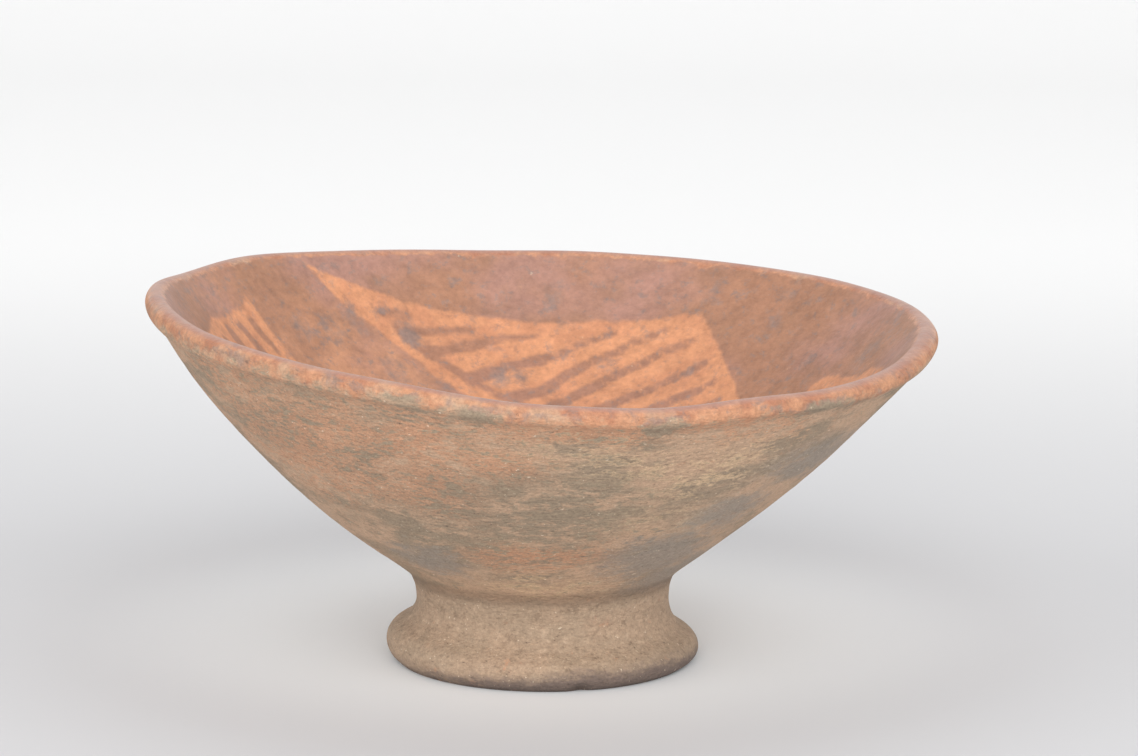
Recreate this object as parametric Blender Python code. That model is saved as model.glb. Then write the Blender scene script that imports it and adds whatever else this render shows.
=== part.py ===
"""Low pedestal bowl of fired clay, built by hand as one piece.

A wide bowl with a rounded lip stands on a short hollow foot. Units are metres, +Z is up.
The bowl stands on the plane z = 0, and the origin is the middle of the ground under its own
box. Azimuths are counted from +X (the right) towards +Y (the back).
"""

import math

import bmesh
import bpy
from mathutils import Vector

# Lip and wall of the bowl
RIM_RADIUS = 0.0950  # outermost point of the lip, before it is warped
RIM_HEIGHT = 0.0841  # mean height of the lip's crest
LIP_RADIUS = 0.0029  # half the thickness of the rounded lip
LIP_ROOT_ANGLE = math.radians(-85)  # where the wall meets the underside of the lip
LIP_INNER_ANGLE = math.radians(142)  # where the lip runs into the inside of the wall
WALL_BOW = 0.0035  # swelling of the wall outside its straight chord
WALL_UNDER_LIP = 0.0052
WALL_AT_FLOOR = 0.0072
FLOOR_HEIGHT = 0.0215  # lowest point of the inside

# Foot, from the ground up
JUNCTION_RADIUS = 0.0322  # sharp inner corner where the bowl leaves the foot
JUNCTION_HEIGHT = 0.0222
WAIST_RADIUS = 0.0304
WAIST_HEIGHT = 0.0148
SHOULDER_RADIUS = 0.0355  # where the bulge turns hollow on its way to the waist
SHOULDER_HEIGHT = 0.0076
BULGE_RADIUS = 0.0379
BULGE_HEIGHT = 0.0037
RING_OUTER_RADIUS = 0.0345  # flat ring that stands on the ground
RING_INNER_RADIUS = 0.0282
HOLLOW_DEPTH = 0.0143  # height of the hollow under the foot
HOLLOW_MOUTH_ROUND = 0.0012  # rounding of the hollow's edge
HOLLOW_SQUARENESS = 2.6  # 2 is an ellipse, more is a squarer dome

# Unevenness of the hand-built bowl
RISE_LEFT = 0.0040  # how far the lip is raised on the left and lowered on the right
RISE_BACK = 0.0024
SADDLE = 0.0021  # two high and two low sides besides
SADDLE_AZIMUTH = math.radians(15)
RIM_SHIFT = Vector((-0.0002, 0.0016))  # lip's middle, against the bottom of the bowl
RIM_OVAL = 0.0003
RIM_OVAL_AZIMUTH = math.radians(-74)
BODY_SHIFT = -0.0015  # bowl's middle, against the foot, along X
BODY_SHIFT_START = 0.0120  # height where the shift begins
BODY_SHIFT_END = 0.0400  # height where it is complete
WARP_POWER = 1.5  # how late on its way up the wall begins to lean
UNDERLIP_SWELL = 0.0011  # wall just under the lip, fuller on the right, thinner on the left
UNDERLIP_REACH = 0.0080  # how far below the lip's root that is felt
BULGE_LIFT = 0.0009  # foot's bulge, higher on the left and lower on the right

# Shallow humps and dips along the lip: azimuth in degrees, rise, half-width in degrees
RIM_HUMPS = (
    (15, 0.0004, 14),
    (65, 0.0006, 16),
    (88, 0.0005, 10),
    (114, 0.0004, 11),
    (140, 0.0004, 14),
    (163, -0.0013, 12),
    (212, -0.0007, 12),
    (250, 0.0004, 9),
    (268, -0.0006, 10),
    (286, -0.0006, 8),
    (303, 0.0007, 9),
    (350, 0.0013, 12),
)

# Fineness of the mesh
SEGMENTS = 84
WALL_STEPS = 10
LIP_STEPS = 7
FLOOR_STEPS = 5
FOOT_STEPS = 3
WAIST_STEPS = 4
HOLLOW_STEPS = 7
MERGE_DISTANCE = 0.000001
SHARP_ANGLE = math.radians(50)

# Fired clay
CLAY_COLOUR = (0.36, 0.20, 0.11, 1.0)
CLAY_ROUGHNESS = 0.8


def clear_scene():
    """Remove every object of the open file."""
    for item in list(bpy.data.objects):
        bpy.data.objects.remove(item, do_unlink=True)


def bowed_arc(start, end, bow, steps):
    """Points of a circular arc whose middle stands off its chord by bow, to the right."""
    chord = end - start
    half = chord.length / 2
    along = chord.normalized()
    side = Vector((along.y, -along.x))
    reach = 2 * math.atan(bow / half)
    points = []
    for index in range(steps + 1):
        angle = reach * (2 * index / steps - 1)
        forward = half * (1 + math.sin(angle) / math.sin(reach))
        off = bow * (math.cos(angle) - math.cos(reach)) / (1 - math.cos(reach))
        points.append(start + along * forward + side * off)
    return points


def upright_arc(upright, end, steps):
    """Points of a circular arc that is vertical at its first point and runs to its last."""
    across = end.x - upright.x
    climb = end.y - upright.y
    radius = (across**2 + climb**2) / (2 * across)
    reach = math.atan2(climb / abs(radius), 1 - across / radius)
    points = []
    for index in range(steps + 1):
        angle = reach * index / steps
        swing = radius * (1 - math.cos(angle))
        points.append(upright + Vector((swing, abs(radius) * math.sin(angle))))
    return points


def on_lip(angle):
    """Point of the round lip at an angle, counted up from the outward direction."""
    middle = Vector((RIM_RADIUS - LIP_RADIUS, RIM_HEIGHT - LIP_RADIUS))
    return middle + LIP_RADIUS * Vector((math.cos(angle), math.sin(angle)))


def outer_wall():
    """Outside of the wall, from the foot's junction up to the root of the lip."""
    junction = Vector((JUNCTION_RADIUS, JUNCTION_HEIGHT))
    return bowed_arc(junction, on_lip(LIP_ROOT_ANGLE), WALL_BOW, WALL_STEPS)


def inner_wall(outside):
    """Inside of the wall, from the floor up: the outside moved in by the wall's thickness."""
    inside = []
    for index, point in enumerate(outside[:-1]):
        along = (outside[index + 1] - point).normalized()
        share = index / (len(outside) - 1)
        thickness = WALL_AT_FLOOR + share * (WALL_UNDER_LIP - WALL_AT_FLOOR)
        inside.append(point + thickness * Vector((-along.y, along.x)))
    return inside


def floor_curve(edge):
    """Floor of the bowl, level at the axis, from the axis out to the foot of the wall."""
    depth = edge.y - FLOOR_HEIGHT
    radius = (edge.x**2 + depth**2) / (2 * depth)
    reach = math.asin(edge.x / radius)
    angles = [reach * index / FLOOR_STEPS for index in range(FLOOR_STEPS)]
    return [Vector((radius * math.sin(a), FLOOR_HEIGHT + radius * (1 - math.cos(a)))) for a in angles]


def lip_curve():
    """Lip from its inner side over the crest to its root on the outside."""
    turn = (LIP_ROOT_ANGLE - LIP_INNER_ANGLE) / LIP_STEPS
    return [on_lip(LIP_INNER_ANGLE + turn * index) for index in range(LIP_STEPS + 1)]


def foot_outside():
    """Outside of the foot, from the junction down to the edge of the standing ring."""
    junction = Vector((JUNCTION_RADIUS, JUNCTION_HEIGHT))
    waist = Vector((WAIST_RADIUS, WAIST_HEIGHT))
    shoulder = Vector((SHOULDER_RADIUS, SHOULDER_HEIGHT))
    bulge = Vector((BULGE_RADIUS, BULGE_HEIGHT))
    ring = Vector((RING_OUTER_RADIUS, 0.0))
    neck = upright_arc(waist, junction, FOOT_STEPS)
    neck.reverse()
    to_shoulder = upright_arc(waist, shoulder, WAIST_STEPS)
    to_bulge = upright_arc(bulge, shoulder, FOOT_STEPS)
    to_bulge.reverse()
    to_ring = upright_arc(bulge, ring, FOOT_STEPS)
    return neck[1:] + to_shoulder[1:] + to_bulge[1:] + to_ring[1:]


def hollow_curve():
    """Underside of the foot, from the standing ring's inner edge up to the axis."""
    power = 2 / HOLLOW_SQUARENESS
    points = [Vector((RING_INNER_RADIUS, 0.0))]
    for index in range(HOLLOW_STEPS):
        angle = math.radians(90) * index / HOLLOW_STEPS
        radius = (RING_INNER_RADIUS - HOLLOW_MOUTH_ROUND) * math.cos(angle) ** power
        rise = (HOLLOW_DEPTH - HOLLOW_MOUTH_ROUND) * math.sin(angle) ** power
        points.append(Vector((radius, HOLLOW_MOUTH_ROUND + rise)))
    points.append(Vector((0.0, HOLLOW_DEPTH)))
    return points


def bowl_outline():
    """Half section of the piece, from the axis inside the bowl to the axis under the foot."""
    outside = outer_wall()
    inside = inner_wall(outside)
    outside.reverse()
    return (
        floor_curve(inside[0])
        + inside
        + lip_curve()
        + outside[1:]
        + foot_outside()
        + hollow_curve()
    )


def turned_mesh(outline):
    """Turn the half section round the axis into one closed body."""
    body = bmesh.new()
    verts = [body.verts.new((point.x, 0.0, point.y)) for point in outline]
    edges = [body.edges.new(pair) for pair in zip(verts, verts[1:])]
    bmesh.ops.spin(
        body,
        geom=verts + edges,
        cent=(0, 0, 0),
        axis=(0, 0, 1),
        angle=math.tau,
        steps=SEGMENTS,
        use_duplicate=False,
    )
    bmesh.ops.remove_doubles(body, verts=body.verts, dist=MERGE_DISTANCE)
    bmesh.ops.recalc_face_normals(body, faces=body.faces)
    return body


def eased(share):
    """Smooth step from 0 to 1."""
    share = min(max(share, 0.0), 1.0)
    return share * share * (3 - 2 * share)


def rim_rise(azimuth):
    """How far the lip stands above its mean height at an azimuth."""
    rise = RISE_BACK * math.sin(azimuth) - RISE_LEFT * math.cos(azimuth)
    rise += SADDLE * math.cos(2 * (azimuth - SADDLE_AZIMUTH))
    for place, height, half_width in RIM_HUMPS:
        away = math.remainder(azimuth - math.radians(place), math.tau)
        rise += height * math.exp(-((away / math.radians(half_width)) ** 2))
    return rise


def warped(point):
    """Move a point of the turned form to where the uneven hand-built bowl has it."""
    azimuth = math.atan2(point.y, point.x)
    outward = Vector((math.cos(azimuth), math.sin(azimuth), 0.0))
    moved = point.copy()

    wall_height = RIM_HEIGHT - LIP_RADIUS - JUNCTION_HEIGHT
    lean = max(point.z - JUNCTION_HEIGHT, 0.0) / wall_height
    lean = lean**WARP_POWER
    moved.z += lean * rim_rise(azimuth)
    moved += lean * RIM_SHIFT.to_3d()
    moved += lean * RIM_OVAL * math.cos(2 * (azimuth - RIM_OVAL_AZIMUTH)) * outward

    climb = (point.z - BODY_SHIFT_START) / (BODY_SHIFT_END - BODY_SHIFT_START)
    moved.x += BODY_SHIFT * eased(climb)

    root_height = on_lip(LIP_ROOT_ANGLE).y
    swell = math.exp(-(((point.z - root_height) / UNDERLIP_REACH) ** 2))
    moved += UNDERLIP_SWELL * math.cos(azimuth) * swell * lean * outward

    if point.z < WAIST_HEIGHT:
        lift = math.sin(math.pi * point.z / WAIST_HEIGHT)
        moved.z -= BULGE_LIFT * math.cos(azimuth) * lift
    return moved


def centre_on_box(body):
    """Move the piece sideways so that its own box is centred on the Z axis."""
    for axis in range(2):
        places = [vert.co[axis] for vert in body.verts]
        middle = (min(places) + max(places)) / 2
        for vert in body.verts:
            vert.co[axis] -= middle


def clay_material():
    """Fired clay in the bowl's mean colour."""
    clay = bpy.data.materials.new("fired_clay")
    clay.use_nodes = True
    shader = clay.node_tree.nodes["Principled BSDF"]
    shader.inputs["Base Color"].default_value = CLAY_COLOUR
    shader.inputs["Roughness"].default_value = CLAY_ROUGHNESS
    shader.inputs["Metallic"].default_value = 0.0
    return clay


def build_bowl():
    """Make the bowl, the object's only piece."""
    body = turned_mesh(bowl_outline())
    for vert in body.verts:
        vert.co = warped(vert.co)
    centre_on_box(body)
    mesh = bpy.data.meshes.new("pedestal_bowl")
    body.to_mesh(mesh)
    body.free()
    mesh.materials.append(clay_material())
    mesh.shade_smooth()
    mesh.set_sharp_from_angle(angle=SHARP_ANGLE)
    bowl = bpy.data.objects.new("pedestal_bowl", mesh)
    bpy.context.scene.collection.objects.link(bowl)


def main():
    """Clear the scene and build the bowl."""
    clear_scene()
    build_bowl()


main()
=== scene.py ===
"""The looks of a low footed pottery bowl with a painted, slipped inside and a worn, smoky outside."""
import logging
import math
from dataclasses import dataclass, field
from enum import Enum

import bpy
import numpy as np
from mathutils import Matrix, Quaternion, Vector, noise


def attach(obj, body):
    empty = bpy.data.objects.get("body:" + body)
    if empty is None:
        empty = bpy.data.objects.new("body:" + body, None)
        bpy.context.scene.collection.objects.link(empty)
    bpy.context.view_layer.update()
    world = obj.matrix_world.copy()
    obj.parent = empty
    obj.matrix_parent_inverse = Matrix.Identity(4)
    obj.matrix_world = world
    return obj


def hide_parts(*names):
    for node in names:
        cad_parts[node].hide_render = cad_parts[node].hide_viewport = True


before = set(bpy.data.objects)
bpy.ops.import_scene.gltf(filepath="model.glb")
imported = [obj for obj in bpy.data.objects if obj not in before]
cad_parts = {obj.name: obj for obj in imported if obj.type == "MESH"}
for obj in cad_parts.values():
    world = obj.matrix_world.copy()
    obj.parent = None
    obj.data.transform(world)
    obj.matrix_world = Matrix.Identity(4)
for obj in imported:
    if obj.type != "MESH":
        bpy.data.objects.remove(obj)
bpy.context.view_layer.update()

MM = 0.001
log = logging.getLogger("pottery_bowl")

Point = tuple[float, float]
Triple = tuple[float, float, float]
Colour = tuple[float, float, float, float]
Socket = bpy.types.NodeSocket

# The value that cloudy patterns swing about, and the mix node's sockets for colours.
PATTERN_MIDDLE = 0.5
MIX_UNDER, MIX_OVER, MIX_RESULT = 6, 7, 2
# Least distances from the axis that anything is divided by, in metres and in millimetres.
AXIS_GUARD = 1e-6
AXIS_GUARD_MM = 0.5
# Distance from the axis beyond which a point can belong to the lip, and the paint's greatest depth, in millimetres.
LIP_RADIUS = 70.0
DEPTH_LIMIT = 6.0
# How fast a soft blotch fades from its middle.
SOFT_FALL = 0.7


def linear(red: int, green: int, blue: int) -> Colour:
    """Turn a screen colour into the linear colour that a shader takes.

    Args:
        red: Red, 0 to 255.
        green: Green, 0 to 255.
        blue: Blue, 0 to 255.

    Returns:
        Linear red, green, blue and an alpha of one.
    """
    def channel(value: int) -> float:
        """Undo the screen curve on one channel."""
        share = value / 255
        return share / 12.92 if share <= 0.04045 else ((share + 0.055) / 1.055) ** 2.4
    return channel(red), channel(green), channel(blue), 1.0


class Tint(Enum):
    """What a soft patch on the outside does to the clay under it."""

    WARM = "warm"
    CREAM = "cream"
    SMOKE = "smoke"
    MOSS = "moss"


@dataclass(frozen=True)
class ClayTones:
    """Colours of the fired clay and its paint, as the surface's own colour; the crest's colour is a painted sheen,
    and the seam's colour is dirt with painted shade.
    """

    inside_slip: Colour = linear(164, 119, 93)
    inside_rose: Colour = linear(167, 125, 110)
    inside_umber: Colour = linear(146, 109, 85)
    inside_glow: Colour = linear(196, 142, 108)
    lip_red: Colour = linear(172, 115, 86)
    # Dirt in the foot's grain, and painted shade in the seam over the foot.
    dirt_and_seam_shade: Colour = linear(118, 98, 80)
    stripe_bare: Colour = linear(162, 116, 92)
    paint_light: Colour = linear(209, 147, 107)
    paint_worn: Colour = linear(198, 137, 101)
    lip_slip: Colour = linear(194, 139, 105)
    # Painted sheen: the pinkish grey that the burnished crest shows where it catches the light.
    crest_painted_sheen: Colour = linear(160, 122, 112)
    soot: Colour = linear(134, 117, 111)
    outside_tan: Colour = linear(192, 160, 133)
    outside_orange: Colour = linear(194, 146, 115)
    outside_grey: Colour = linear(148, 132, 112)
    outside_cream: Colour = linear(208, 178, 144)
    outside_smoke: Colour = linear(150, 138, 126)
    foot_sand: Colour = linear(169, 144, 121)
    foot_pale: Colour = linear(190, 165, 141)
    foot_dark: Colour = linear(102, 88, 82)
    pore: Colour = linear(84, 66, 55)
    grit: Colour = linear(236, 216, 190)


@dataclass(frozen=True)
class SoftSpot:
    """A blotch on the inside in plan, x to the right and y away, in millimetres."""

    x: float
    y: float
    radius: float
    strength: float


@dataclass(frozen=True)
class WallPatch:
    """A soft patch on the outside, placed round the axis and by height, in millimetres.

    Attributes:
        around: Azimuth of its middle, in degrees from +X.
        height: Height of its middle.
        reach: Half its width along the surface.
        rise: Half its height.
        strength: Its strength at the middle.
    """

    around: float
    height: float
    reach: float
    rise: float
    strength: float


@dataclass(frozen=True)
class Stroke:
    """A stripe left bare, in plan: its centre line and half its width at both ends, in millimetres."""

    line: tuple[Point, ...]
    start: float = 1.6
    end: float = 0.8


@dataclass(frozen=True)
class StripedPanel:
    """A light painted panel in plan: its corners, in millimetres, and the bare stripes in it."""

    outline: tuple[Point, ...]
    strokes: tuple[Stroke, ...]

    def turned(self, centre: Point) -> "StripedPanel":
        """Give the panel that faces this one across the bowl.

        Args:
            centre: The middle of the bowl in plan, in millimetres.

        Returns:
            The same panel turned half round the middle.
        """
        def across(points: tuple[Point, ...]) -> tuple[Point, ...]:
            """Turn points half round the middle."""
            return tuple((2 * centre[0] - x, 2 * centre[1] - y) for x, y in points)
        strokes = tuple(Stroke(across(s.line), s.start, s.end) for s in self.strokes)
        return StripedPanel(across(self.outline), strokes)

    def light(self, x: np.ndarray, y: np.ndarray) -> np.ndarray:
        """Measure how far points lie inside the light paint.

        Args:
            x: Plan places to the right, in millimetres.
            y: Plan places away, in millimetres.

        Returns:
            Distance to the edge of the light paint, positive in the paint.
        """
        depth = inside_polygon(x, y, self.outline)
        for stroke in self.strokes:
            distance, along = to_polyline(x, y, stroke.line)
            half = stroke.start + (stroke.end - stroke.start) * along
            depth = np.minimum(depth, distance - half)
        return depth


def to_polyline(x: np.ndarray, y: np.ndarray, line: tuple[Point, ...]) -> tuple[np.ndarray, np.ndarray]:
    """Measure points against a polyline.

    Args:
        x: Plan places to the right, in millimetres.
        y: Plan places away, in millimetres.
        line: The polyline's points.

    Returns:
        The distance to the line, and the share of its length at the nearest point.
    """
    legs = [math.dist(a, b) for a, b in zip(line, line[1:])]
    total = sum(legs)
    best = np.full(x.shape, np.inf)
    share = np.zeros(x.shape)
    gone = 0.0
    for (ax, ay), (bx, by), leg in zip(line, line[1:], legs):
        t = np.clip(((x - ax) * (bx - ax) + (y - ay) * (by - ay)) / leg ** 2, 0, 1)
        distance = np.hypot(x - ax - t * (bx - ax), y - ay - t * (by - ay))
        nearer = distance < best
        best = np.where(nearer, distance, best)
        share = np.where(nearer, (gone + t * leg) / total, share)
        gone += leg
    return best, share


def inside_polygon(x: np.ndarray, y: np.ndarray, outline: tuple[Point, ...]) -> np.ndarray:
    """Measure how far points lie inside a polygon.

    Args:
        x: Plan places to the right, in millimetres.
        y: Plan places away, in millimetres.
        outline: The polygon's corners.

    Returns:
        Distance to the outline, positive inside.
    """
    closed = outline + (outline[0],)
    distance, _ = to_polyline(x, y, closed)
    within = np.zeros(x.shape, bool)
    for (ax, ay), (bx, by) in zip(closed, closed[1:]):
        if ay == by:
            continue
        spans = (ay > y) != (by > y)
        crossing = (bx - ax) * (y - ay) / (by - ay) + ax
        within ^= spans & (x < crossing)
    return np.where(within, distance, -distance)


BACK_PANEL = StripedPanel(
    outline=(
        (-61.5, 64.6), (-52.2, 68.1), (-42.1, 71.1), (-29.3, 73.6), (-19.1, 75.6), (-11.4, 76.2),
        (-1.0, 76.0), (14.5, 75.4), (29.9, 71.9), (37.5, 69.9), (40.4, 68.6), (44.4, 58.8),
        (46.2, 52.2), (48.3, 44.9), (49.1, 40.0), (52.0, 33.0), (30.0, 40.5), (4.0, 49.0),
        (-20.6, 56.9), (-26.0, 58.3), (-31.1, 60.1), (-36.5, 61.2), (-41.7, 62.4), (-51.9, 62.9),
    ),
    strokes=(
        Stroke(((-42.0, 66.8), (-34.6, 70.0)), 1.2, 0.9),
        Stroke(((-38.2, 65.6), (-29.2, 68.5), (-18.2, 72.7)), 1.2, 0.6),
        Stroke(((-29.7, 63.6), (-21.2, 67.9), (-11.3, 71.8), (-0.5, 73.6)), 1.3, 0.6),
        Stroke(((-18.4, 61.0), (-8.6, 66.0), (-0.9, 67.6), (9.3, 70.8), (18.3, 72.2)), 1.6, 0.6),
        Stroke(((-9.0, 58.6), (-0.8, 60.3), (5.8, 63.9), (12.4, 66.7), (22.2, 68.3), (31.6, 68.9)), 1.5, 0.7),
        Stroke(((0.0, 55.6), (9.2, 59.1), (15.5, 61.1), (22.1, 62.6), (31.1, 63.7), (39.0, 63.3)), 1.4, 0.7),
        Stroke(((8.0, 53.2), (21.6, 55.6), (32.0, 56.0), (40.6, 55.9)), 1.4, 0.8),
        Stroke(((17.0, 49.6), (33.2, 50.6), (43.2, 49.4)), 1.4, 0.9),
        Stroke(((26.0, 46.2), (44.2, 43.6)), 1.4, 0.9),
        Stroke(((36.0, 42.0), (45.4, 38.6)), 1.3, 0.9),
        Stroke(
            ((-38.4, 65.0), (-30.6, 63.4), (-24.5, 62.4), (-14.0, 59.6), (-4.0, 56.2), (18.0, 48.6), (38.0, 41.4)),
            0.9, 0.9,
        ),
    ),
)
LEFT_PANEL = StripedPanel(
    outline=((-74.0, 40.4), (-80.6, 17.7), (-80.6, 3.0), (-58.0, -28.0), (-40.0, 29.5), (-62.4, 36.9)),
    strokes=(
        Stroke(((-72.0, 34.8), (-65.6, 34.2)), 1.2, 0.8),
        Stroke(((-74.7, 29.6), (-55.0, 27.6)), 1.2, 1.0),
        Stroke(((-76.2, 23.1), (-46.0, 21.0)), 1.2, 1.0),
        Stroke(((-76.6, 16.9), (-47.5, 14.6)), 1.2, 1.0),
        Stroke(((-76.6, 10.7), (-49.0, 8.2)), 1.2, 1.0),
        Stroke(((-76.4, 4.5), (-50.5, 1.8)), 1.2, 1.0),
        Stroke(((-72.6, -1.8), (-52.5, -4.6)), 1.2, 1.0),
        Stroke(((-68.6, -8.2), (-54.5, -10.8)), 1.2, 1.0),
        Stroke(((-65.8, -14.4), (-56.6, -16.6)), 1.2, 1.0),
    ),
)
BOWL_MIDDLE: Point = (-0.7, -1.6)
RIGHT_PANEL = StripedPanel(
    outline=(
        (72.6, -43.6), (79.2, -20.9), (81.0, -8.0), (79.3, 3.6), (76.8, 4.6), (74.6, 10.0), (69.8, 21.5),
        (66.4, 23.6), (56.0, 16.0), (38.6, -32.7), (61.0, -40.1),
    ),
    strokes=LEFT_PANEL.turned(BOWL_MIDDLE).strokes,
)
PANELS = (BACK_PANEL, LEFT_PANEL, BACK_PANEL.turned(BOWL_MIDDLE), RIGHT_PANEL)


def filled(kind: type, *rows: tuple[float, ...]) -> tuple:
    """Turn rows of numbers into records of one kind."""
    return tuple(kind(*row) for row in rows)


SOOT_SPOTS = filled(
    SoftSpot,
    (-34.1, 65.6, 3.2, 0.9), (-49.3, 62.2, 2.4, 0.8), (-37.0, 55.1, 4.0, 0.6),
    (-11.1, 63.6, 3.0, 0.8), (-5.9, 63.4, 2.2, 0.7), (15.8, 65.2, 2.4, 0.7),
    (37.3, 56.2, 1.8, 0.8), (2.8, 81.2, 4.5, 0.5), (58.6, 55.6, 4.0, 0.5),
    (79.3, 14.8, 5.0, 0.6), (63.7, 59.7, 4.0, 0.4), (43.9, 71.3, 3.5, 0.5),
    (-61.1, 47.5, 4.0, 0.55), (-53.5, 54.5, 4.0, 0.55), (-46.7, 60.7, 3.5, 0.5),
    (22.0, -30.0, 5.0, 0.5), (-18.0, -62.0, 5.0, 0.5), (54.0, -54.0, 6.0, 0.45),
    (-26.0, 12.0, 6.0, 0.35), (12.0, 20.0, 5.0, 0.3),
)

GLOW_SPOTS = filled(
    SoftSpot,
    (-52.0, 48.0, 13.0, 0.6), (-38.0, 52.0, 12.0, 0.6), (-66.0, 40.0, 9.0, 0.5),
    (-78.0, 30.0, 16.0, 0.4), (44.0, -40.0, 16.0, 0.6), (-6.0, -58.0, 14.0, 0.5),
    (20.0, 30.0, 16.0, 0.4),
)

WALL_PATCHES = {
    Tint.WARM: filled(
        WallPatch,
        (222, 80, 26, 12, 0.6), (234, 66, 28, 17, 0.85), (248, 70, 20, 9, 0.8), (252, 55, 16, 9, 0.8),
        (267, 36, 18, 4, 0.85), (264, 63, 12, 6, 0.7), (233, 54, 16, 8, 0.5), (280, 42, 16, 6, 0.35),
        (20, 66, 40, 14, 0.5), (95, 60, 46, 18, 0.6), (170, 62, 40, 16, 0.6), (120, 34, 20, 9, 0.4),
        (276, 73, 30, 4, 0.9), (300, 72, 22, 4, 0.55),
    ),
    Tint.CREAM: filled(
        WallPatch,
        (273, 68, 14, 4, 0.5), (286, 62, 18, 5, 0.55), (298, 58, 16, 6, 0.58), (286, 47, 14, 5, 0.6),
        (303, 62, 12, 5, 0.45), (265, 40, 14, 4, 0.35), (304, 46, 12, 5, 0.55), (276, 26, 16, 4, 0.5),
        (60, 58, 24, 8, 0.5), (140, 52, 22, 7, 0.5),
    ),
    Tint.SMOKE: filled(
        WallPatch,
        (304, 34, 16, 8, 0.9), (322, 26, 14, 8, 0.9), (312, 46, 14, 6, 0.8), (326, 58, 22, 7, 0.8),
        (238, 32, 12, 6, 0.8), (292, 40, 8, 3, 0.5), (100, 40, 30, 12, 0.6), (0, 40, 26, 10, 0.6),
    ),
    Tint.MOSS: filled(
        WallPatch,
        (227, 84, 9, 3, 0.45), (216, 85, 9, 3, 0.4), (251, 80, 7, 2, 0.8), (262, 77, 4, 2.5, 0.9),
        (270, 68, 14, 4, 0.35), (287, 73, 4.5, 4.5, 0.7), (313, 75, 7, 2, 1.0), (303, 76, 2, 1, 0.8),
        (278, 71, 5, 2.5, 0.4), (262, 70, 14, 4, 0.3), (262, 79.5, 3, 2.5, 1.0), (272, 78.5, 10, 2.4, 0.75),
        (283, 79, 6, 1.0, 0.8), (232, 74, 20, 7, 0.42), (240, 61, 16, 7, 0.5), (226, 67, 12, 7, 0.42),
        (246, 73, 6, 3, 0.7), (235, 78, 6, 3, 0.6), (263, 53, 22, 8, 0.62), (272, 50, 20, 10, 0.85),
        (244, 42, 18, 8, 0.7), (80, 72, 22, 6, 0.6), (150, 74, 18, 5, 0.6), (200, 44, 22, 9, 0.5),
    ),
}


@dataclass(frozen=True)
class Cloud:
    """A cloudy pattern.

    Attributes:
        per_metre: Number of clouds in a metre.
        detail: Number of finer layers.
        rough: Their strength.
        warp: How much it folds over itself.
    """

    per_metre: float
    detail: float
    rough: float
    warp: float = 0.0


@dataclass(frozen=True)
class Sway:
    """A cloudy pattern, and how much it does."""

    cloud: Cloud
    reach: float


@dataclass(frozen=True)
class Ramp:
    """A smooth rise of a value, from nothing at low to top at high."""

    low: float
    high: float
    top: float = 1.0


@dataclass(frozen=True)
class Marks:
    """Marks cut out of a cloudy pattern, from where the ramp starts in it."""

    cloud: Cloud
    ramp: Ramp


@dataclass(frozen=True)
class TintLook:
    """How one tint is laid: how ragged its edge is, and where it starts in its patches."""

    tint: Tint
    reach: float
    ramp: Ramp


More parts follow.
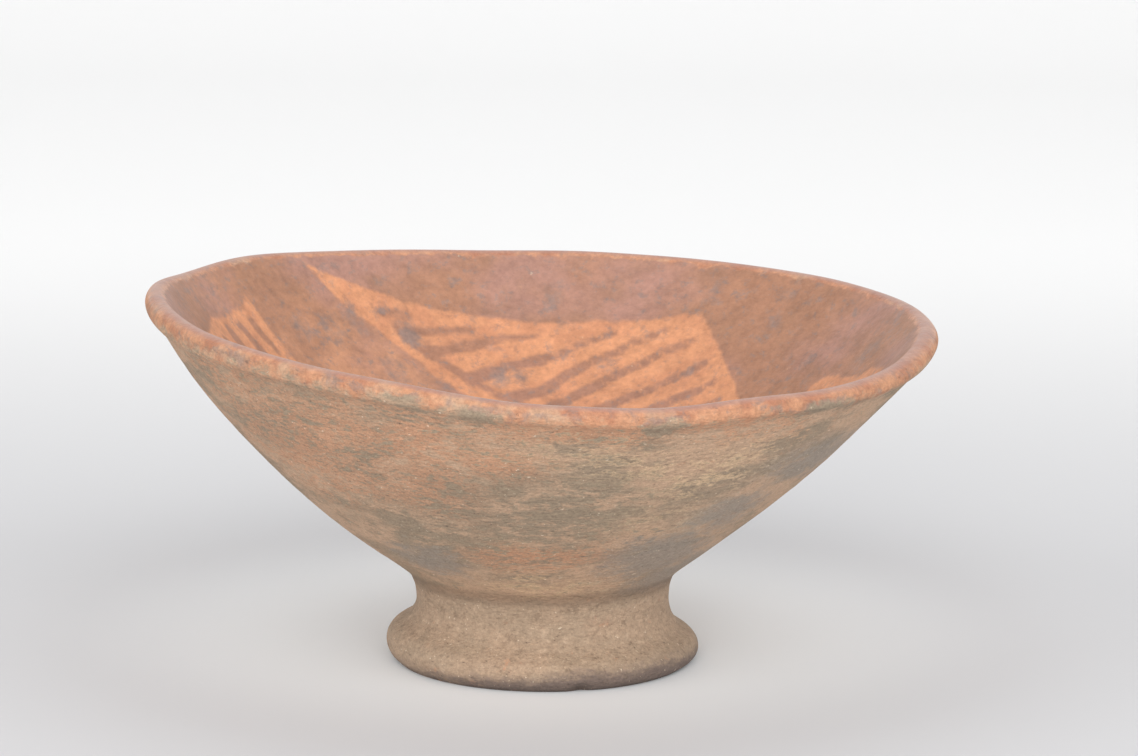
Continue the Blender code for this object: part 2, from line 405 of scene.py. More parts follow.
class ShaderSketch:
    """Short ways to add shader nodes to one material."""

    def __init__(self, name: str) -> None:
        """Start a material with an empty node tree.

        Args:
            name: The material's name.
        """
        self.material = bpy.data.materials.new(name)
        self.material.use_nodes = True
        self.tree = self.material.node_tree
        self.tree.nodes.clear()

    def node(self, kind: str, **settings: object) -> bpy.types.Node:
        """Add one node and set its properties.

        Args:
            kind: The node's type name.
            **settings: Properties of the node.

        Returns:
            The node.
        """
        made = self.tree.nodes.new(kind)
        for key, value in settings.items():
            setattr(made, key, value)
        return made

    def feed(self, socket: Socket, value: object) -> None:
        """Link a socket to an output, or set its value.

        Args:
            socket: The input socket.
            value: An output socket, or a plain value.
        """
        if isinstance(value, bpy.types.NodeSocket):
            self.tree.links.new(value, socket)
        else:
            socket.default_value = value

    def attribute(self, name: str) -> Socket:
        """Read a named value of the mesh."""
        return self.node("ShaderNodeAttribute", attribute_name=name).outputs["Fac"]

    def place(self, stretch: Triple = (1.0, 1.0, 1.0)) -> Socket:
        """Give the piece's own coordinates.

        Args:
            stretch: Scale along each axis.

        Returns:
            The coordinates.
        """
        mapping = self.node("ShaderNodeMapping")
        self.feed(mapping.inputs["Vector"], self.node("ShaderNodeTexCoord").outputs["Object"])
        mapping.inputs["Scale"].default_value = stretch
        return mapping.outputs["Vector"]

    def noise(self, vector: Socket, cloud: Cloud) -> Socket:
        """Add a cloudy pattern.

        Args:
            vector: Where it is read.
            cloud: The pattern's settings.

        Returns:
            The pattern's value.
        """
        made = self.node("ShaderNodeTexNoise")
        self.feed(made.inputs["Vector"], vector)
        for key, value in (("Scale", cloud.per_metre), ("Detail", cloud.detail),
                           ("Roughness", cloud.rough), ("Distortion", cloud.warp)):
            made.inputs[key].default_value = value
        return made.outputs["Fac"]

    def math(self, operation: str, first: object, second: object) -> Socket:
        """Combine two values.

        Args:
            operation: What is done with them.
            first: The first value.
            second: The second value.

        Returns:
            The result.
        """
        made = self.node("ShaderNodeMath", operation=operation)
        self.feed(made.inputs[0], first)
        self.feed(made.inputs[1], second)
        return made.outputs[0]

    def plus(self, first: object, second: object) -> Socket:
        """Add two values."""
        return self.math("ADD", first, second)

    def less(self, first: object, second: object) -> Socket:
        """Take the second value from the first."""
        return self.math("SUBTRACT", first, second)

    def times(self, first: object, second: object) -> Socket:
        """Multiply two values."""
        return self.math("MULTIPLY", first, second)

    def swing(self, pattern: Socket, reach: float) -> Socket:
        """Let a pattern swing about nothing, over its reach."""
        return self.times(self.less(pattern, PATTERN_MIDDLE), reach)

    def sway(self, vector: Socket, sway: Sway) -> Socket:
        """Let a cloudy pattern swing about nothing."""
        return self.swing(self.noise(vector, sway.cloud), sway.reach)

    def shade(self, vector: Socket, sway: Sway) -> Socket:
        """Give a cloudy pattern by its strength."""
        return self.times(self.noise(vector, sway.cloud), sway.reach)

    def step(self, value: object, ramp: Ramp) -> Socket:
        """Rise smoothly from nothing to a top.

        Args:
            value: The value that it follows.
            ramp: Where it rises, and to what.

        Returns:
            The risen value.
        """
        made = self.node("ShaderNodeMapRange", interpolation_type="SMOOTHSTEP")
        self.feed(made.inputs["Value"], value)
        made.inputs["From Min"].default_value = ramp.low
        made.inputs["From Max"].default_value = ramp.high
        made.inputs["To Max"].default_value = ramp.top
        return made.outputs["Result"]

    def marks(self, vector: Socket, marks: Marks) -> Socket:
        """Cut marks out of a cloudy pattern."""
        return self.step(self.noise(vector, marks.cloud), marks.ramp)

    def mix(self, share: object, under: object, over: object) -> Socket:
        """Lay one colour over another.

        Args:
            share: How much the upper colour hides.
            under: The lower colour.
            over: The upper colour.

        Returns:
            The mixed colour.
        """
        made = self.node("ShaderNodeMix", data_type="RGBA")
        self.feed(made.inputs["Factor"], share)
        self.feed(made.inputs[MIX_UNDER], under)
        self.feed(made.inputs[MIX_OVER], over)
        return made.outputs[MIX_RESULT]

    def scaled(self, colour: object, amount: object) -> Socket:
        """Lighten or darken a colour by a factor.

        Args:
            colour: The colour.
            amount: The factor.

        Returns:
            The scaled colour.
        """
        made = self.node("ShaderNodeVectorMath", operation="SCALE")
        self.feed(made.inputs[0], colour)
        self.feed(made.inputs["Scale"], amount)
        return made.outputs[0]

    def finish(self, shader: bpy.types.Node) -> bpy.types.Material:
        """Link the shader to the material's surface.

        Args:
            shader: The Principled node.

        Returns:
            The finished material.
        """
        output = self.node("ShaderNodeOutputMaterial")
        self.feed(output.inputs["Surface"], shader.outputs["BSDF"])
        return self.material


@dataclass(frozen=True)
class InsideLook:
    """The slipped and painted inside: clouds, where marks start in them, and how much they do."""

    rose: Marks = Marks(Cloud(26, 3, 0.5), Ramp(0.40, 0.64))
    middle: Cloud = Cloud(110, 4, 0.6, 0.4)
    umber: Ramp = Ramp(0.44, 0.86, 0.75)
    umber_pull: float = 0.3
    glow: Ramp = Ramp(0.15, 0.85, 0.85)
    glow_break: float = 1.2
    stripe: Ramp = Ramp(-0.4, 1.0, 0.75)
    wobble: Sway = Sway(Cloud(260, 3, 0.6), 1.7)
    drift: Sway = Sway(Cloud(90, 2, 0.5), 1.8)
    edge: Ramp = Ramp(-0.55, 0.65)
    worn_paint: Ramp = Ramp(0.42, 0.66)
    wear: Marks = Marks(Cloud(330, 4, 0.65), Ramp(0.56, 0.72, 0.55))
    cover: float = 0.92
    blot_break: Sway = Sway(Cloud(300, 4, 0.65), 1.5)
    blot: Ramp = Ramp(0.25, 0.85, 0.75)
    clean_paint: float = 0.55
    flecks: Marks = Marks(Cloud(420, 4, 0.65), Ramp(0.55, 0.70, 0.6))
    dabs: Marks = Marks(Cloud(170, 5, 0.7, 0.3), Ramp(0.56, 0.68, 0.6))
    fine: Sway = Sway(Cloud(620, 3, 0.6), 0.50)
    grain: Sway = Sway(Cloud(190, 5, 0.7), 0.80)
    base: float = 0.36
    nicks: Marks = Marks(Cloud(420, 2, 0.5), Ramp(0.755, 0.80, 0.3))
    nick_stretch: Triple = (1.0, 0.35, 1.0)
    rough: float = 0.38
    rough_swing: float = 0.18


@dataclass(frozen=True)
class OutsideLook:
    """The worn outside and the sandy foot: clouds, where marks start in them, and how much they do."""

    clouds: Cloud = Cloud(46, 4, 0.6, 0.3)
    grey: Ramp = Ramp(0.42, 0.60, 0.80)
    mottle: Cloud = Cloud(150, 5, 0.65, 0.5)
    speckle: Cloud = Cloud(480, 4, 0.65)
    speckle_share: float = 0.7
    fine: Sway = Sway(Cloud(1500, 3, 0.6), 0.80)
    patches: tuple[TintLook, ...] = (
        TintLook(Tint.WARM, 3.2, Ramp(0.10, 0.85, 0.95)), TintLook(Tint.CREAM, 3.6, Ramp(0.30, 0.90, 0.90)),
        TintLook(Tint.MOSS, 3.0, Ramp(0.28, 0.80, 0.90)), TintLook(Tint.SMOKE, 1.2, Ramp(0.28, 0.80, 0.85)),
    )
    foot_grey: Ramp = Ramp(0.42, 0.60, 0.35)
    foot_grain: Cloud = Cloud(360, 6, 0.75, 0.3)
    foot_pale: Ramp = Ramp(0.55, 0.67, 0.5)
    foot_dirt: Ramp = Ramp(0.46, 0.34, 0.55)
    edge_reach: float = 1.1
    edge: Ramp = Ramp(0.20, 0.95, 0.9)
    foot_reach: float = 0.5
    foot: Ramp = Ramp(0.3, 0.7)
    pores: Marks = Marks(Cloud(800, 4, 0.7), Ramp(0.60, 0.72, 0.75))
    grit: Marks = Marks(Cloud(1150, 2, 0.5), Ramp(0.685, 0.75, 0.6))
    # Dirt and painted shade in the seam where the foot meets the bowl.
    seam_reach: float = 0.8
    seam: Ramp = Ramp(0.15, 1.0, 0.6)
    scratches: Marks = Marks(Cloud(900, 2, 0.5), Ramp(0.75, 0.79, 0.35))
    scratch_stretch: Triple = (0.5, 0.5, 0.10)
    base: float = 0.26
    speckle_tone: float = 0.70
    rough: float = 0.86
    smoke_sheen: float = 0.22


@dataclass(frozen=True)
class LipLook:
    """The lip's rubbed slip: clouds, where marks start in them, and how much they do."""

    ragged: Sway = Sway(Cloud(230, 6, 0.7), 2.4)
    moss_loss: float = 0.55
    band: Ramp = Ramp(0.25, 0.75, 0.9)
    red: Marks = Marks(Cloud(130, 5, 0.65, 0.4), Ramp(0.42, 0.62))
    tan: Marks = Marks(Cloud(70, 4, 0.6), Ramp(0.52, 0.66, 0.6))
    smudge: Cloud = Cloud(210, 5, 0.7, 0.4)
    moss_smudge: float = 0.25
    smudged: Ramp = Ramp(0.54, 0.68, 0.6)
    pores: Marks = Marks(Cloud(520, 4, 0.7), Ramp(0.62, 0.74, 0.6))
    grain: Sway = Sway(Cloud(800, 5, 0.75), 1.4)
    base: float = 0.32
    # Where the painted sheen along the crest shows, and how strong it is.
    crest: Ramp = Ramp(0.35, 0.95, 0.55)
    sheen: float = 0.12


@dataclass(frozen=True)
class GrainLook:
    """The fine relief under the colour: pits, wiping streaks and their depth in metres."""

    pits: Sway = Sway(Cloud(1300, 3, 0.6), 0.5)
    wiping: Cloud = Cloud(420, 4, 0.6)
    inside_loss: float = 0.65
    strength: float = 0.8
    depth: float = 0.0007


@dataclass(frozen=True)
class FiredClay:
    """The finish of the whole vessel: slip, paint, soot, wear and bare clay.

    Attributes:
        streaks: Scale along each axis that makes the outside's patterns lie level.
        specular: Strength of the surface's own reflection.
    """

    tones: ClayTones = ClayTones()
    inside: InsideLook = InsideLook()
    outside: OutsideLook = OutsideLook()
    lip: LipLook = LipLook()
    relief: GrainLook = GrainLook()
    streaks: Triple = (1.0, 1.0, 2.5)
    specular: float = 0.45

    def material(self) -> bpy.types.Material:
        """Build the finish.

        Returns:
            The material.
        """
        s = ShaderSketch("fired_clay")
        plain = s.place()
        streaked = s.place(self.streaks)
        inside = s.attribute("inside")
        inner, inner_rough = self.inner_skin(s, plain)
        outer, outer_rough = self.outer_skin(s, plain, streaked)
        colour = s.mix(inside, outer, inner)
        rough = s.plus(s.times(inner_rough, inside), s.times(outer_rough, s.less(1.0, inside)))
        colour, rough = self.lip_skin(s, plain, colour, rough)
        shader = s.node("ShaderNodeBsdfPrincipled")
        s.feed(shader.inputs["Base Color"], colour)
        s.feed(shader.inputs["Roughness"], rough)
        shader.inputs["Specular IOR Level"].default_value = self.specular
        s.feed(shader.inputs["Normal"], self.grain(s, plain, streaked, inside))
        return s.finish(shader)

    def inner_skin(self, s: ShaderSketch, plain: Socket) -> tuple[Socket, Socket]:
        """Mix the slipped and painted inside.

        Args:
            s: The node tree's helper.
            plain: The piece's coordinates.

        Returns:
            Colour and roughness.
        """
        t, look = self.tones, self.inside
        middle = s.noise(plain, look.middle)
        slip = s.mix(s.marks(plain, look.rose), t.inside_slip, t.inside_rose)
        deep = s.plus(middle, s.times(s.attribute("umber"), look.umber_pull))
        slip = s.mix(s.step(deep, look.umber), slip, t.inside_umber)
        warm = s.plus(s.attribute("glow"), s.swing(middle, look.glow_break))
        slip = s.mix(s.step(warm, look.glow), slip, t.inside_glow)
        slip = s.mix(s.step(s.attribute("panel"), look.stripe), slip, t.stripe_bare)
        edge = s.plus(s.plus(s.attribute("paint"), s.sway(plain, look.wobble)), s.sway(plain, look.drift))
        paint = s.mix(s.step(middle, look.worn_paint), t.paint_light, t.paint_worn)
        kept = s.less(1.0, s.marks(plain, look.wear))
        cover = s.times(s.step(edge, look.edge), s.times(kept, look.cover))
        colour = s.mix(cover, slip, paint)
        blot = s.plus(s.attribute("soot"), s.sway(plain, look.blot_break))
        colour = s.mix(s.step(blot, look.blot), colour, t.soot)
        bare = s.less(1.0, s.times(cover, look.clean_paint))
        for specks in (look.flecks, look.dabs):
            colour = s.mix(s.times(s.marks(plain, specks), bare), colour, t.soot)
        shades = s.plus(s.shade(plain, look.fine), s.shade(plain, look.grain))
        colour = s.scaled(colour, s.plus(look.base, shades))
        colour = s.mix(s.marks(s.place(look.nick_stretch), look.nicks), colour, t.grit)
        return colour, s.plus(look.rough, s.times(middle, look.rough_swing))

    def outer_skin(self, s: ShaderSketch, plain: Socket, streaked: Socket) -> tuple[Socket, Socket]:
        """Mix the worn and smoky outside, with the sandy foot.

        Args:
            s: The node tree's helper.
            plain: The piece's coordinates.
            streaked: The coordinates squeezed upright, for level streaks.

        Returns:
            Colour and roughness.
        """
        t, look = self.tones, self.outside
        clouds = s.noise(streaked, look.clouds)
        mottle = s.noise(streaked, look.mottle)
        speckle = s.noise(streaked, look.speckle)

        def ragged(name: str, reach: float) -> Socket:
            """Break a soft patch up with the mottling."""
            broken = s.plus(s.swing(mottle, reach), s.swing(speckle, reach * look.speckle_share))
            return s.plus(s.attribute(name), broken)

        tint_tones = {Tint.WARM: t.outside_orange, Tint.CREAM: t.outside_cream,
                      Tint.MOSS: t.outside_grey, Tint.SMOKE: t.outside_smoke}
        colour = s.mix(s.step(clouds, look.grey), t.outside_tan, t.outside_grey)
        for patch in look.patches:
            share = s.step(ragged(patch.tint.value, patch.reach), patch.ramp)
            colour = s.mix(share, colour, tint_tones[patch.tint])
        grain = s.noise(plain, look.foot_grain)
        sandy = s.mix(s.step(clouds, look.foot_grey), t.foot_sand, t.outside_grey)
        sandy = s.mix(s.step(grain, look.foot_pale), sandy, t.foot_pale)
        sandy = s.mix(s.step(grain, look.foot_dirt), sandy, t.dirt_and_seam_shade)
        sandy = s.mix(s.step(ragged("foot_edge", look.edge_reach), look.edge), sandy, t.foot_dark)
        colour = s.mix(s.step(ragged("foot", look.foot_reach), look.foot), colour, sandy)
        colour = s.mix(s.marks(streaked, look.pores), colour, t.pore)
        colour = s.mix(s.marks(plain, look.grit), colour, t.grit)
        # Dirt and painted shade in the seam where the foot meets the bowl.
        seam = s.plus(s.attribute("seam"), s.swing(speckle, look.seam_reach))
        colour = s.mix(s.step(seam, look.seam), colour, t.dirt_and_seam_shade)
        colour = s.mix(s.marks(s.place(look.scratch_stretch), look.scratches), colour, t.grit)
        shades = s.plus(s.times(speckle, look.speckle_tone), s.shade(plain, look.fine))
        rough = s.less(look.rough, s.times(s.attribute("smoke"), look.smoke_sheen))
        return s.scaled(colour, s.plus(look.base, shades)), rough

    def lip_skin(self, s: ShaderSketch, plain: Socket, colour: Socket, rough: Socket) -> tuple[Socket, Socket]:
        """Lay the rubbed orange slip of the lip over both skins, and a painted sheen along its crest.

        Args:
            s: The node tree's helper.
            plain: The piece's coordinates.
            colour: The colour under it.
            rough: The roughness under it.

        Returns:
            Colour and roughness.
        """
        t, look = self.tones, self.lip
        moss = s.attribute("moss")
        band = s.plus(s.attribute("lip"), s.sway(plain, look.ragged))
        share = s.step(s.less(band, s.times(moss, look.moss_loss)), look.band)
        slip = s.mix(s.marks(plain, look.red), t.lip_slip, t.lip_red)
        slip = s.mix(s.marks(plain, look.tan), slip, t.outside_tan)
        smudge = s.plus(s.noise(plain, look.smudge), s.times(moss, look.moss_smudge))
        slip = s.mix(s.step(smudge, look.smudged), slip, t.soot)
        slip = s.mix(s.marks(plain, look.pores), slip, t.pore)
        grainy = s.plus(look.base, s.shade(plain, look.grain))
        colour = s.mix(share, colour, s.scaled(slip, grainy))
        # Painted sheen: a pinkish grey line along the lip's up-facing crest.
        colour = s.mix(s.step(s.attribute("crest"), look.crest), colour, t.crest_painted_sheen)
        return colour, s.less(rough, s.times(share, look.sheen))

    def grain(self, s: ShaderSketch, plain: Socket, streaked: Socket, inside: Socket) -> Socket:
        """Raise the fine grain and the wiping streaks.

        Args:
            s: The node tree's helper.
            plain: The piece's coordinates.
            streaked: The coordinates squeezed upright.
            inside: One on the inside, nothing on the outside.

        Returns:
            The surface normal.
        """
        look = self.relief
        both = s.plus(s.shade(plain, look.pits), s.noise(streaked, look.wiping))
        bump = s.node("ShaderNodeBump")
        bump.inputs["Strength"].default_value = look.strength
        bump.inputs["Distance"].default_value = look.depth
        s.feed(bump.inputs["Height"], s.times(both, s.less(1.0, s.times(inside, look.inside_loss))))
        return bump.outputs["Normal"]


def corners(mesh: bpy.types.Mesh) -> tuple[np.ndarray, np.ndarray]:
    """Read where the corners of a mesh lie and how they face.

    Args:
        mesh: The mesh.

    Returns:
        Places, in metres, and normals, with one row for each corner.
    """
    count = len(mesh.vertices) * 3
    places, normals = np.zeros(count), np.zeros(count)
    mesh.vertices.foreach_get("co", places)
    mesh.vertex_normals.foreach_get("vector", normals)
    return places.reshape(-1, 3), normals.reshape(-1, 3)


def unit(value: np.ndarray) -> np.ndarray:
    """Keep values between nothing and one."""
    return np.clip(value, 0, 1)


@dataclass(frozen=True)
class FootEdge:
    """The dark lower edge of the foot, with heights in millimetres.

    Attributes:
        darkest: Azimuth where it is highest and darkest, in degrees.
        fullness: How far its full dark reaches before it fades.
        extra_height: How much higher it is at its darkest.
        extra_strength: How much stronger it is there.
    """

    darkest: float = 312.0
    fullness: float = 1.15
    height: float = 4.2
    extra_height: float = 2.6
    strength: float = 0.62
    extra_strength: float = 0.58

    def dark(self, x: np.ndarray, y: np.ndarray, z: np.ndarray) -> np.ndarray:
        """Darken points by their height and direction.

        Args:
            x: Places to the right, in millimetres.
            y: Places away, in millimetres.
            z: Heights, in millimetres.

        Returns:
            How dark each point is.
        """
        side = 0.5 + 0.5 * np.cos(np.arctan2(y, x) - math.radians(self.darkest))
        fade = unit(self.fullness - z / (self.height + self.extra_height * side ** 2))
        return fade * (self.strength + self.extra_strength * side ** 2)


@dataclass
class PaintedBowl:
    """The vessel: one skin over the CAD solid, with hand-made relief and its finish.

    The relief's own sizes are in metres. From calm_height on, except in the crease and the chip,
    the fields are in millimetres. Angles are in degrees.

    Attributes:
        levels: Rounds of subdivision.
        pair_angle: Bend up to which two triangles make one face.
        undulation_waves: Waves of the broad unevenness in a metre, along each axis.
        wiping_waves: Wiping marks in a metre, along each axis.
        calm_height: Height up to which neither shows.
        calm_fade: Height over which both then grow.
        ring_flat: Height under which the foot's ring is made flat, in metres.
        crease_half_turn: Half the length of the crease under the lip.
        crease_radius: Distance from the axis beyond which the crease shows.
        chip_squash: Scale of the chip's distances along each axis.
        foot_top: Height where the foot meets the bowl.
        foot_blend: Height over which their colours change.
        inner_up: How much looking up makes a point inner.
        inner_out: How much looking out makes it outer.
        inner_lift: What is added to the difference.
        inner_blend: How wide the change is.
        lip_band: Reach of the lip's slip from its crest.
        lip_start: Strength of the slip at the crest, before its limit.
        crest_level: How level a point of the painted sheen line along the crest is at least.
        crest_drop: How far the painted sheen line hangs below the crest.
        seam_half: Half the height of the dirt and painted shade over the foot.
    """

    node: str = "pedestal_bowl"
    levels: int = 2
    merge_distance: float = 1e-5
    pair_angle: float = 70.0
    undulation: float = 0.00022
    undulation_waves: Triple = (34, 34, 60)
    wiping: float = 0.00007
    wiping_waves: Triple = (26, 26, 620)
    calm_height: float = 1.0
    calm_fade: float = 4.0
    ring_flat: float = 0.0004
    crease_around: float = 222.0
    crease_half_turn: float = 17.0
    crease_height: float = 0.0834
    crease_fall: float = 0.00011
    crease_width: float = 0.0009
    crease_depth: float = 0.00035
    crease_radius: float = 0.0885
    chip_place: Triple = (0.0100, -0.0363, 0.0009)
    chip_radius: float = 0.0019
    chip_depth: float = 0.0019
    chip_squash: Triple = (1.0, 1.0, 1.6)
    foot_top: float = 20.5
    foot_blend: float = 3.0
    inner_up: float = 1.6
    inner_out: float = 0.8
    inner_lift: float = 0.1
    inner_blend: float = 0.5
    lip_band: float = 4.6
    lip_inner_share: float = 0.26
    lip_start: float = 1.35
    lip_limit: float = 1.2
    crest_level: float = 0.55
    crest_rise: float = 0.45
    crest_drop: float = 2.6
    crest_radius: float = 78.0
    seam_height: float = 21.0
    seam_half: float = 2.2
    seam_radius: float = 45.0
    umber_radius: float = 55.0
    foot_edge: FootEdge = FootEdge()
    finish: FiredClay = field(default_factory=FiredClay)

    def build(self) -> bpy.types.Object:
        """Make the piece, dress it and set it on the frame.

        Returns:
            The finished piece.
        """
        piece = self.copied_solid()
        self.refine(piece)
        self.work_surface(piece.data)
        self.mark_surface(piece.data)
        piece.data.materials.clear()
        piece.data.materials.append(self.finish.material())
        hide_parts(self.node)
        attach(piece, "root")
        return piece

    def copied_solid(self) -> bpy.types.Object:
        """Copy the CAD solid, with its loose corners merged and its faces paired.

        Returns:
            The copy.
        """
        bpy.ops.object.select_all(action="DESELECT")
        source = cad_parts[self.node]
        piece = bpy.data.objects.new("painted_pedestal_bowl", source.data.copy())
        bpy.context.scene.collection.objects.link(piece)
        piece.select_set(True)
        bpy.context.view_layer.objects.active = piece
        bend = math.radians(self.pair_angle)
        bpy.ops.object.mode_set(mode="EDIT")
        bpy.ops.mesh.select_all(action="SELECT")
        bpy.ops.mesh.remove_doubles(threshold=self.merge_distance)
        bpy.ops.mesh.tris_convert_to_quads(face_threshold=bend, shape_threshold=bend)
        bpy.ops.mesh.normals_make_consistent(inside=False)
        bpy.ops.object.mode_set(mode="OBJECT")
        quads = sum(1 for face in piece.data.polygons if len(face.vertices) == 4)
        log.info("copied solid: %d faces, %d of them with four sides", len(piece.data.polygons), quads)
        return piece

    def refine(self, piece: bpy.types.Object) -> None:
        """Round the facets off with subdivision.

        Args:
            piece: The piece, which is the active object.
        """
        modifier = piece.modifiers.new("rounding", "SUBSURF")
        modifier.levels = self.levels
        modifier.render_levels = self.levels
        bpy.ops.object.modifier_apply(modifier=modifier.name)
        bpy.ops.object.shade_smooth()

    def work_surface(self, mesh: bpy.types.Mesh) -> None:
        """Move the skin in and out as a potter's hand leaves it.

        Args:
            mesh: The piece's mesh.
        """
        co, normal = corners(mesh)
        broad = np.array([noise.noise(Vector(place)) for place in co * self.undulation_waves])
        level = np.array([noise.noise(Vector(place)) for place in co * self.wiping_waves])
        calm = unit((co[:, 2] / MM - self.calm_height) / self.calm_fade)
        shift = (self.undulation * broad + self.wiping * level) * calm
        co = co + normal * shift[:, None]
        co[co[:, 2] < self.ring_flat, 2] = 0.0
        co = self.chipped(self.creased(co))
        mesh.vertices.foreach_set("co", co.ravel())
        mesh.update()

    def creased(self, co: np.ndarray) -> np.ndarray:
        """Press the crease that runs under the lip on the left.

        Args:
            co: The corners' places, in metres.

        Returns:
            The places with the crease pressed in.
        """
        from_axis = co[:, :2] - np.array(BOWL_MIDDLE) * MM
        radius = np.hypot(*from_axis.T)
        azimuth = np.degrees(np.arctan2(from_axis[:, 1], from_axis[:, 0])) % 360
        height = self.crease_height - self.crease_fall * (azimuth - self.crease_around)
        along = np.exp(-((azimuth - self.crease_around) / self.crease_half_turn) ** 4)
        across = np.exp(-((co[:, 2] - height) / self.crease_width) ** 2)
        press = self.crease_depth * along * across * (radius > self.crease_radius)
        co[:, :2] -= from_axis / np.maximum(radius, AXIS_GUARD)[:, None] * press[:, None]
        return co

    def chipped(self, co: np.ndarray) -> np.ndarray:
        """Knock the small chip out of the foot's lower edge.

        Args:
            co: The corners' places, in metres.

        Returns:
            The places with the chip knocked in.
        """
        away = np.linalg.norm((co - np.array(self.chip_place)) * self.chip_squash, axis=1)
        depth = self.chip_depth * np.exp(-(away / self.chip_radius) ** 2)
        inward = -np.array(self.chip_place) * (1.0, 1.0, 0.0)
        inward /= np.linalg.norm(inward)
        return co + inward * depth[:, None]

    def mark_surface(self, mesh: bpy.types.Mesh) -> None:
        """Write the named values that the finish reads.

        Args:
            mesh: The piece's mesh.
        """
        co, normal = corners(mesh)
        x, y, z = (co / MM).T
        nx, ny, nz = normal.T
        mx, my = BOWL_MIDDLE
        radius = np.hypot(x - mx, y - my)
        outward = (nx * (x - mx) + ny * (y - my)) / np.maximum(radius, AXIS_GUARD_MM)
        outer_side = outward > 0
        below = self.lip_height(np.degrees(np.arctan2(y - my, x - mx)), radius, z) - z
        inner = unit((nz * self.inner_up - outward * self.inner_out + self.inner_lift) / self.inner_blend)
        inner = inner * (z > self.foot_top)
        reach = np.where(outer_side, self.lip_band, self.lip_band * self.lip_inner_share)
        slip = np.clip(self.lip_start - np.abs(below) / reach, 0, self.lip_limit)
        # Painted sheen along the crest: up-facing points just under the lip's top.
        crest = unit((nz - self.crest_level) / self.crest_rise)
        # Dirt and painted shade round the seam where the foot meets the bowl.
        seam = np.exp(-((z - self.seam_height) / self.seam_half) ** 2)
        values = {
            "inside": inner,
            "lip": slip * (radius > LIP_RADIUS),
            "crest": crest * (below < self.crest_drop) * (radius > self.crest_radius),
            "paint": self.deepest([panel.light(x, y) for panel in PANELS]),
            "panel": self.deepest([inside_polygon(x, y, panel.outline) for panel in PANELS]),
            "soot": self.spread(SOOT_SPOTS, x, y) * inner,
            "glow": self.spread(GLOW_SPOTS, x, y) * inner,
            "seam": seam * outer_side * (radius < self.seam_radius),
            "umber": unit(1 - radius / self.umber_radius),
            "foot": unit((self.foot_top + self.foot_blend / 2 - z) / self.foot_blend),
            "foot_edge": self.foot_edge.dark(x, y, z),
        }
        for tint, patches in WALL_PATCHES.items():
            values[tint.value] = self.wall_tint(patches, x, y, z) * (1 - inner)
        for name, value in values.items():
            layer = mesh.attributes.new(name, "FLOAT", "POINT")
            layer.data.foreach_set("value", np.asarray(value, np.float32))

    @staticmethod
    def lip_height(azimuth: np.ndarray, radius: np.ndarray, z: np.ndarray) -> np.ndarray:
        """Find the height of the lip's crest in each direction.

        Args:
            azimuth: Direction of each point, in degrees.
            radius: Distance from the middle, in millimetres.
            z: Height, in millimetres.

        Returns:
            The crest's height for each point.
        """
        slots = 120
        slot = ((azimuth % 360) / 360 * slots).astype(int) % slots
        crest = np.array([z[(slot == i) & (radius > LIP_RADIUS)].max() for i in range(slots)])
        smooth = (np.roll(crest, 1) + crest + np.roll(crest, -1)) / 3
        centres = (np.arange(slots) + 0.5) / slots * 360
        return np.interp(azimuth % 360, centres, smooth, period=360)

    @staticmethod
    def deepest(depths: list[np.ndarray]) -> np.ndarray:
        """Keep the greatest of several depths, within the limit that the finish needs."""
        return np.clip(np.max(depths, axis=0), -DEPTH_LIMIT, DEPTH_LIMIT)

    @staticmethod
    def spread(spots: tuple[SoftSpot, ...], x: np.ndarray, y: np.ndarray) -> np.ndarray:
        """Lay soft blotches on the inside.

        Args:
            spots: The blotches.
            x: Places to the right, in millimetres.
            y: Places away, in millimetres.

        Returns:
            The strongest blotch at each point.
        """
        total = np.zeros(x.shape)
        for spot in spots:
            away = np.hypot(x - spot.x, y - spot.y) / spot.radius
            total = np.maximum(total, spot.strength * np.exp(-away ** 2 * SOFT_FALL))
        return total

    @staticmethod
    def wall_tint(patches: tuple[WallPatch, ...], x: np.ndarray, y: np.ndarray, z: np.ndarray) -> np.ndarray:
        """Lay the outside's soft patches of one tint.

        Args:
            patches: The patches.
            x: Places to the right, in millimetres.
            y: Places away, in millimetres.
            z: Heights, in millimetres.

        Returns:
            The strongest patch at each point.
        """
        azimuth = np.degrees(np.arctan2(y, x))
        radius = np.hypot(x, y)
        total = np.zeros(x.shape)
        for patch in patches:
            turn = (azimuth - patch.around + 180) % 360 - 180
            sideways = np.radians(turn) * radius / patch.reach
            upright = (z - patch.height) / patch.rise
            total = np.maximum(total, patch.strength * np.exp(-(sideways ** 2 + upright ** 2) * SOFT_FALL))
        return total


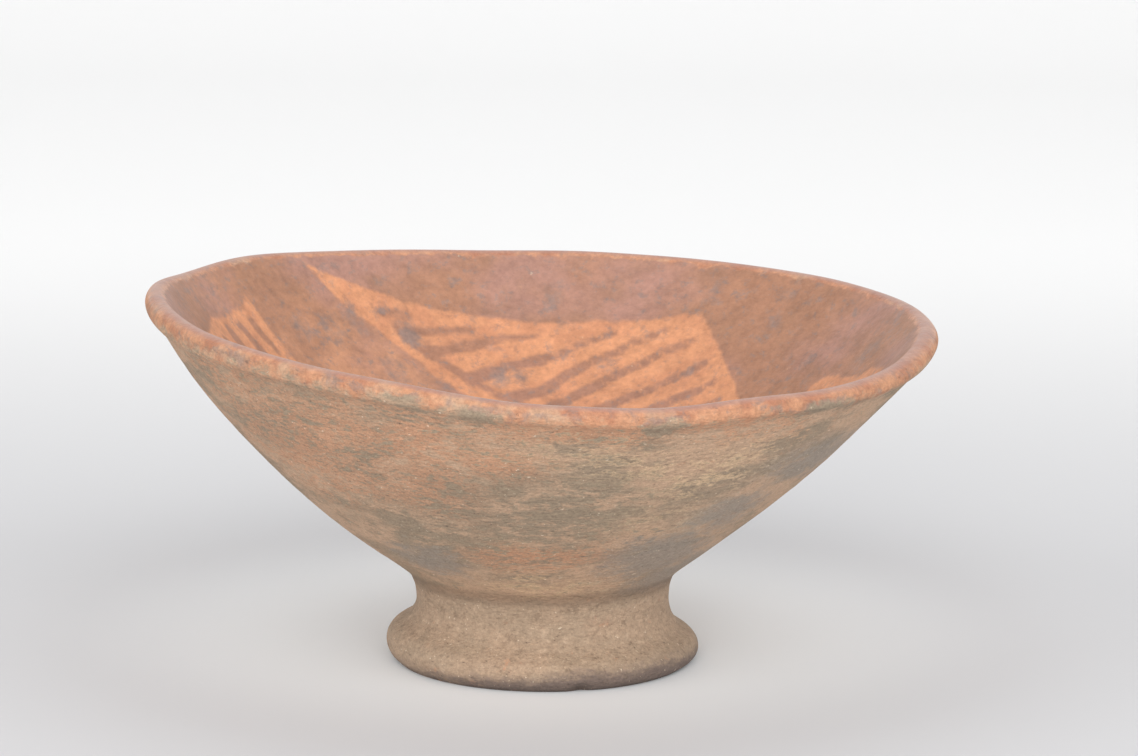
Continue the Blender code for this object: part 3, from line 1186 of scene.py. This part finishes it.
@dataclass(frozen=True)
class PalePaper:
    """The matt paper, with painted light: it is lighter behind the bowl as under the lamps, and a patch of painted
    light round the foot takes out the bowl's shadow; distances are in metres.
    """

    # Painted light and shade: the near paper is darker and the far paper lighter, as one paper looks under the
    # lamps.
    near: Colour = linear(206, 206, 208)
    far: Colour = linear(243, 243, 243)
    painted_light_ramp: Ramp = Ramp(0.06, 0.72)
    # Painted light: a lighter patch of paper round the foot, where the bowl's shadow falls.
    painted_light_pool: Colour = linear(236, 239, 241)
    pool_middle: Triple = (0.0, 0.03, 0.0)
    pool_edge: Ramp = Ramp(0.125, 0.05)
    rough: float = 0.9
    specular: float = 0.2

    def material(self) -> bpy.types.Material:
        """Build the finish.

        Returns:
            The material.
        """
        s = ShaderSketch("pale_paper")
        away = s.node("ShaderNodeSeparateXYZ")
        s.feed(away.inputs[0], s.place())
        # Painted light: the paper lightens away from the camera, and round the foot.
        paper = s.mix(s.step(away.outputs["Y"], self.painted_light_ramp), self.near, self.far)
        centre = s.node("ShaderNodeVectorMath", operation="DISTANCE")
        s.feed(centre.inputs[0], s.place())
        centre.inputs[1].default_value = self.pool_middle
        paper = s.mix(s.step(centre.outputs["Value"], self.pool_edge), paper, self.painted_light_pool)
        shader = s.node("ShaderNodeBsdfPrincipled")
        s.feed(shader.inputs["Base Color"], paper)
        shader.inputs["Roughness"].default_value = self.rough
        shader.inputs["Specular IOR Level"].default_value = self.specular
        return s.finish(shader)


@dataclass(frozen=True)
class Lamp:
    """One large soft lamp, with its place, size and aim in metres and its power in watts."""

    name: str
    place: Triple
    size: float
    watts: float
    aim: Triple = (0.0, 0.0, 0.05)

    def hang(self) -> None:
        """Put the lamp in the scene and turn it to its aim."""
        data = bpy.data.lights.new(self.name, "AREA")
        data.size = self.size
        data.energy = self.watts
        lamp = bpy.data.objects.new(self.name, data)
        bpy.context.scene.collection.objects.link(lamp)
        lamp.location = self.place
        lamp.rotation_euler = (Vector(self.aim) - Vector(self.place)).to_track_quat("-Z", "Y").to_euler()


LAMPS = (
    Lamp("backdrop_softbox", (0.0, 0.9, 1.8), 1.8, 7.0, (0.0, 1.6, 0.0)),
    Lamp("front_softbox", (0.1, -2.1, 1.3), 1.8, 30.0),
    Lamp("low_front_softbox", (-0.3, -2.0, 0.42), 0.8, 10.0),
    Lamp("left_softbox", (-1.6, -0.9, 1.0), 1.4, 8.0),
    Lamp("right_softbox", (1.7, -0.9, 0.9), 1.4, 9.5),
)


@dataclass
class Studio:
    """The pale sweep, the soft lights and the camera.

    Distances are in metres, angles in degrees, and the lens and the sensor in millimetres.

    Attributes:
        floor_half: Half the sweep's width.
        floor_front: How far the floor comes forward.
        wall_away: How far behind the bowl the sweep turns up.
        floor_gap: Clearance that keeps the floor off the ring.
        edge_gap: Distance within which a corner is at the back edge.
        camera_pitch: How far the camera looks down.
        camera_roll: How far it leans.
    """

    floor_half: float = 3.0
    floor_front: float = 1.6
    wall_away: float = 2.2
    wall_height: float = 3.2
    sweep_radius: float = 0.9
    sweep_facets: int = 32
    floor_gap: float = 0.00005
    edge_gap: float = 0.01
    paper: PalePaper = PalePaper()
    lamps: tuple[Lamp, ...] = LAMPS
    room_light: float = 0.62
    camera_place: Triple = (0.00659, -0.968, 0.2436)
    camera_pitch: float = 10.28
    camera_roll: float = 0.5
    lens: float = 85.0
    sensor: float = 23.594

    def build(self) -> None:
        """Set everything up round the bowl."""
        self.sweep()
        for lamp in self.lamps:
            lamp.hang()
        self.room()
        self.camera()
        bpy.context.scene.view_settings.view_transform = "Standard"

    def sweep(self) -> None:
        """Lay the floor and curve it up into the backdrop."""
        bpy.ops.object.select_all(action="DESELECT")
        middle = (self.wall_away - self.floor_front) / 2
        bpy.ops.mesh.primitive_plane_add(size=1.0, location=(0.0, middle, -self.floor_gap))
        floor = bpy.context.active_object
        floor.name = "paper_sweep"
        floor.scale = (2 * self.floor_half, self.wall_away + self.floor_front, 1.0)
        bpy.ops.object.transform_apply(location=True, rotation=False, scale=True)
        back = {v.index for v in floor.data.vertices if v.co.y > self.wall_away - self.edge_gap}
        for edge in floor.data.edges:
            edge.select = set(edge.vertices) <= back
        for face in floor.data.polygons:
            face.select = False
        for vertex in floor.data.vertices:
            vertex.select = vertex.index in back
        bpy.ops.object.mode_set(mode="EDIT")
        bpy.ops.mesh.select_mode(type="EDGE")
        bpy.ops.mesh.extrude_region_move(TRANSFORM_OT_translate={"value": (0.0, 0.0, self.wall_height)})
        bpy.ops.object.mode_set(mode="OBJECT")
        curve = floor.modifiers.new("curve", "BEVEL")
        curve.width = self.sweep_radius
        curve.segments = self.sweep_facets
        curve.limit_method = "ANGLE"
        bpy.ops.object.modifier_apply(modifier=curve.name)
        bpy.ops.object.shade_smooth()
        floor.data.materials.append(self.paper.material())

    def room(self) -> None:
        """Set the even light of the room."""
        world = bpy.data.worlds.new("room")
        world.use_nodes = True
        light = world.node_tree.nodes["Background"]
        light.inputs["Color"].default_value = (1.0, 1.0, 1.0, 1.0)
        light.inputs["Strength"].default_value = self.room_light
        bpy.context.scene.world = world

    def camera(self) -> None:
        """Put the camera where the photograph was taken from."""
        data = bpy.data.cameras.new("camera")
        data.lens = self.lens
        data.sensor_width = self.sensor
        camera = bpy.data.objects.new("camera", data)
        bpy.context.scene.collection.objects.link(camera)
        camera.location = self.camera_place
        camera.rotation_euler = (math.radians(90 - self.camera_pitch), 0.0, 0.0)
        level = camera.rotation_euler.to_quaternion()
        camera.rotation_mode = "QUATERNION"
        camera.rotation_quaternion = level @ Quaternion((0.0, 0.0, 1.0), math.radians(self.camera_roll))
        bpy.context.scene.camera = camera


def main() -> None:
    """Build the bowl and its studio."""
    logging.basicConfig(level=logging.INFO, format="%(name)s: %(message)s")
    bowl = PaintedBowl().build()
    log.info("%s: %d faces", bowl.name, len(bowl.data.polygons))
    Studio().build()


if __name__ == "__main__":
    main()
